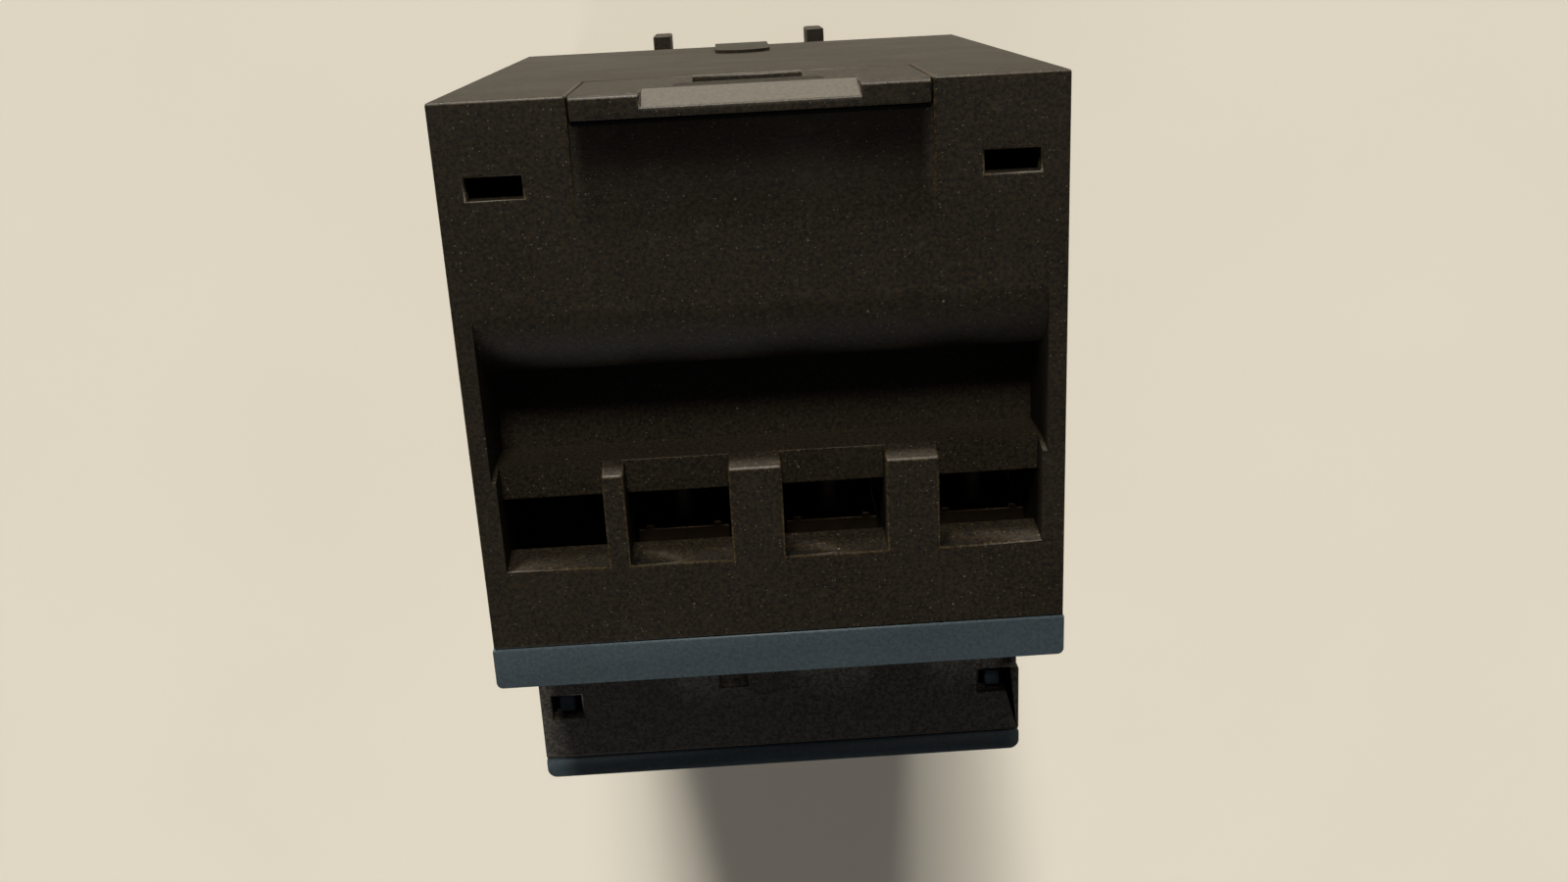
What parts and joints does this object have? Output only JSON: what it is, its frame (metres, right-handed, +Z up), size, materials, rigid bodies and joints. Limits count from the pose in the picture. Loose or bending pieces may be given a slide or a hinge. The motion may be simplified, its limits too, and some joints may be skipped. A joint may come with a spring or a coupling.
{
  "type": "motor protection breaker",
  "caption": "Rail-mounted motor protection breaker with a rotary handle, clamp terminals at both ends and a sliding rail latch.",
  "frame": {"origin": "centre of the rail seat on the floor of the rail slot", "axes": "+X to the operator's right, +Y rearwards to the rail, +Z up towards the end with the rail latch"},
  "size_m": [0.0452, 0.0753, 0.0971],
  "materials": {
    "black_moulding": "fine moulded grain with light speckle",
    "blue_grey_moulding": "fine moulded grain",
    "handle_black": "satin",
    "lock_red": "satin",
    "label_white": "matte film",
    "copper": "plain copper",
    "zinc_steel": "zinc plated",
    "spring_steel": "bright wire",
    "clamp_brass": "plated brass",
    "ivory_moulding": "satin",
    "carrier_brown": "moulded thermoset",
    "winding": "enamelled wire",
    "heater_alloy": "dull ribbon"
  },
  "bodies": {
    "housing": {"rear_housing": "black_moulding", "front_housing": "black_moulding", "front_cover": "blue_grey_moulding", "upper_terminal_cover": "blue_grey_moulding", "lower_terminal_cover": "blue_grey_moulding", "bay_cover": "black_moulding", "name_label": "label_white", "housing_screws": "zinc_steel", "latch_spring": "spring_steel", "mechanism_frame": "zinc_steel", "carrier_spring": "spring_steel", "test_spring": "spring_steel", "line_bar_1": "copper", "line_bar_2": "copper", "line_bar_3": "copper", "middle_bar_1": "copper", "middle_bar_2": "copper", "middle_bar_3": "copper", "load_bar_1": "copper", "load_bar_2": "copper", "load_bar_3": "copper", "release_coil_1": "winding", "release_coil_2": "winding", "release_coil_3": "winding", "bimetal_1": "zinc_steel", "bimetal_2": "zinc_steel", "bimetal_3": "zinc_steel", "heater_1": "heater_alloy", "heater_2": "heater_alloy", "heater_3": "heater_alloy", "arc_plates": "zinc_steel"},
    "rotary_handle": {"handle": "handle_black", "handle_shaft": "zinc_steel", "drive_cam": "ivory_moulding"},
    "padlock_tab": {"lock_tab": "lock_red"},
    "moving_contacts": {"contact_carrier": "carrier_brown", "contact_bridge_1": "copper", "contact_bridge_2": "copper", "contact_bridge_3": "copper", "contact_springs": "spring_steel"},
    "latch": {"rail_latch": "black_moulding"},
    "current_dial": {"setting_dial": "ivory_moulding", "dial_shaft": "zinc_steel"},
    "test_button": {"test_plunger": "lock_red"},
    "trip_bar": {"trip_slide": "ivory_moulding"},
    "coil_striker_1": {"striker_1": "zinc_steel"},
    "line_terminal_1": {"line_clamp_1": "clamp_brass", "line_screw_1": "zinc_steel"},
    "load_terminal_1": {"load_clamp_1": "clamp_brass", "load_screw_1": "zinc_steel"},
    "coil_striker_2": {"striker_2": "zinc_steel"},
    "line_terminal_2": {"line_clamp_2": "clamp_brass", "line_screw_2": "zinc_steel"},
    "load_terminal_2": {"load_clamp_2": "clamp_brass", "load_screw_2": "zinc_steel"},
    "coil_striker_3": {"striker_3": "zinc_steel"},
    "line_terminal_3": {"line_clamp_3": "clamp_brass", "line_screw_3": "zinc_steel"},
    "load_terminal_3": {"load_clamp_3": "clamp_brass", "load_screw_3": "zinc_steel"}
  },
  "joints": [
    {"name": "handle_turn", "type": "hinge", "parent": "housing", "child": "rotary_handle", "pos_m": [0, -0.06, 0.0204], "axis": [0, 1, 0], "range_deg": [0, 90]},
    {"name": "padlock_tab_pull", "type": "slide", "parent": "rotary_handle", "child": "padlock_tab", "axis": [1, 0, 0], "range_m": [0, 0.005]},
    {"name": "contact_travel", "type": "slide", "parent": "housing", "child": "moving_contacts", "axis": [0, 1, 0], "range_m": [0, 0.00301], "deforming": ["carrier_spring"]},
    {"name": "rail_latch_slide", "type": "slide", "parent": "housing", "child": "latch", "axis": [0, 0, 1], "range_m": [0, 0.0025], "stiffness_N_per_m": 2000, "springref_m": -0.002, "deforming": ["latch_spring"]},
    {"name": "current_dial_turn", "type": "hinge", "parent": "housing", "child": "current_dial", "pos_m": [0.0115, -0.058, -0.0006], "axis": [0, 1, 0], "range_deg": [-135, 135]},
    {"name": "test_press", "type": "slide", "parent": "housing", "child": "test_button", "axis": [0, 1, 0], "range_m": [0, 0.0018], "stiffness_N_per_m": 300, "springref_m": -0.001, "deforming": ["test_spring"]},
    {"name": "trip_bar_slide", "type": "slide", "parent": "housing", "child": "trip_bar", "axis": [-1, 0, 0], "range_m": [0, 0.00121]},
    {"name": "striker_1_stroke", "type": "slide", "parent": "housing", "child": "coil_striker_1", "axis": [0, -1, 0], "range_m": [0, 0.0018], "stiffness_N_per_m": 150, "springref_m": -0.001},
    {"name": "line_clamp_1_travel", "type": "slide", "parent": "housing", "child": "line_terminal_1", "axis": [0, 1, 0], "range_m": [-0.0015, 0.003]},
    {"name": "load_clamp_1_travel", "type": "slide", "parent": "housing", "child": "load_terminal_1", "axis": [0, 1, 0], "range_m": [-0.0015, 0.003]},
    {"name": "striker_2_stroke", "type": "slide", "parent": "housing", "child": "coil_striker_2", "axis": [0, -1, 0], "range_m": [0, 0.0018], "stiffness_N_per_m": 150, "springref_m": -0.001},
    {"name": "line_clamp_2_travel", "type": "slide", "parent": "housing", "child": "line_terminal_2", "axis": [0, 1, 0], "range_m": [-0.0015, 0.003]},
    {"name": "load_clamp_2_travel", "type": "slide", "parent": "housing", "child": "load_terminal_2", "axis": [0, 1, 0], "range_m": [-0.0015, 0.003]},
    {"name": "striker_3_stroke", "type": "slide", "parent": "housing", "child": "coil_striker_3", "axis": [0, -1, 0], "range_m": [0, 0.0018], "stiffness_N_per_m": 150, "springref_m": -0.001},
    {"name": "line_clamp_3_travel", "type": "slide", "parent": "housing", "child": "line_terminal_3", "axis": [0, 1, 0], "range_m": [-0.0015, 0.003]},
    {"name": "load_clamp_3_travel", "type": "slide", "parent": "housing", "child": "load_terminal_3", "axis": [0, 1, 0], "range_m": [-0.0015, 0.003]}
  ],
  "couplings": [
    {"joint": "contact_travel", "follows": "handle_turn", "m_per_rad": 0.0019099},
    {"joint": "trip_bar_slide", "follows": "test_press", "ratio": 0.66667}
  ]
}
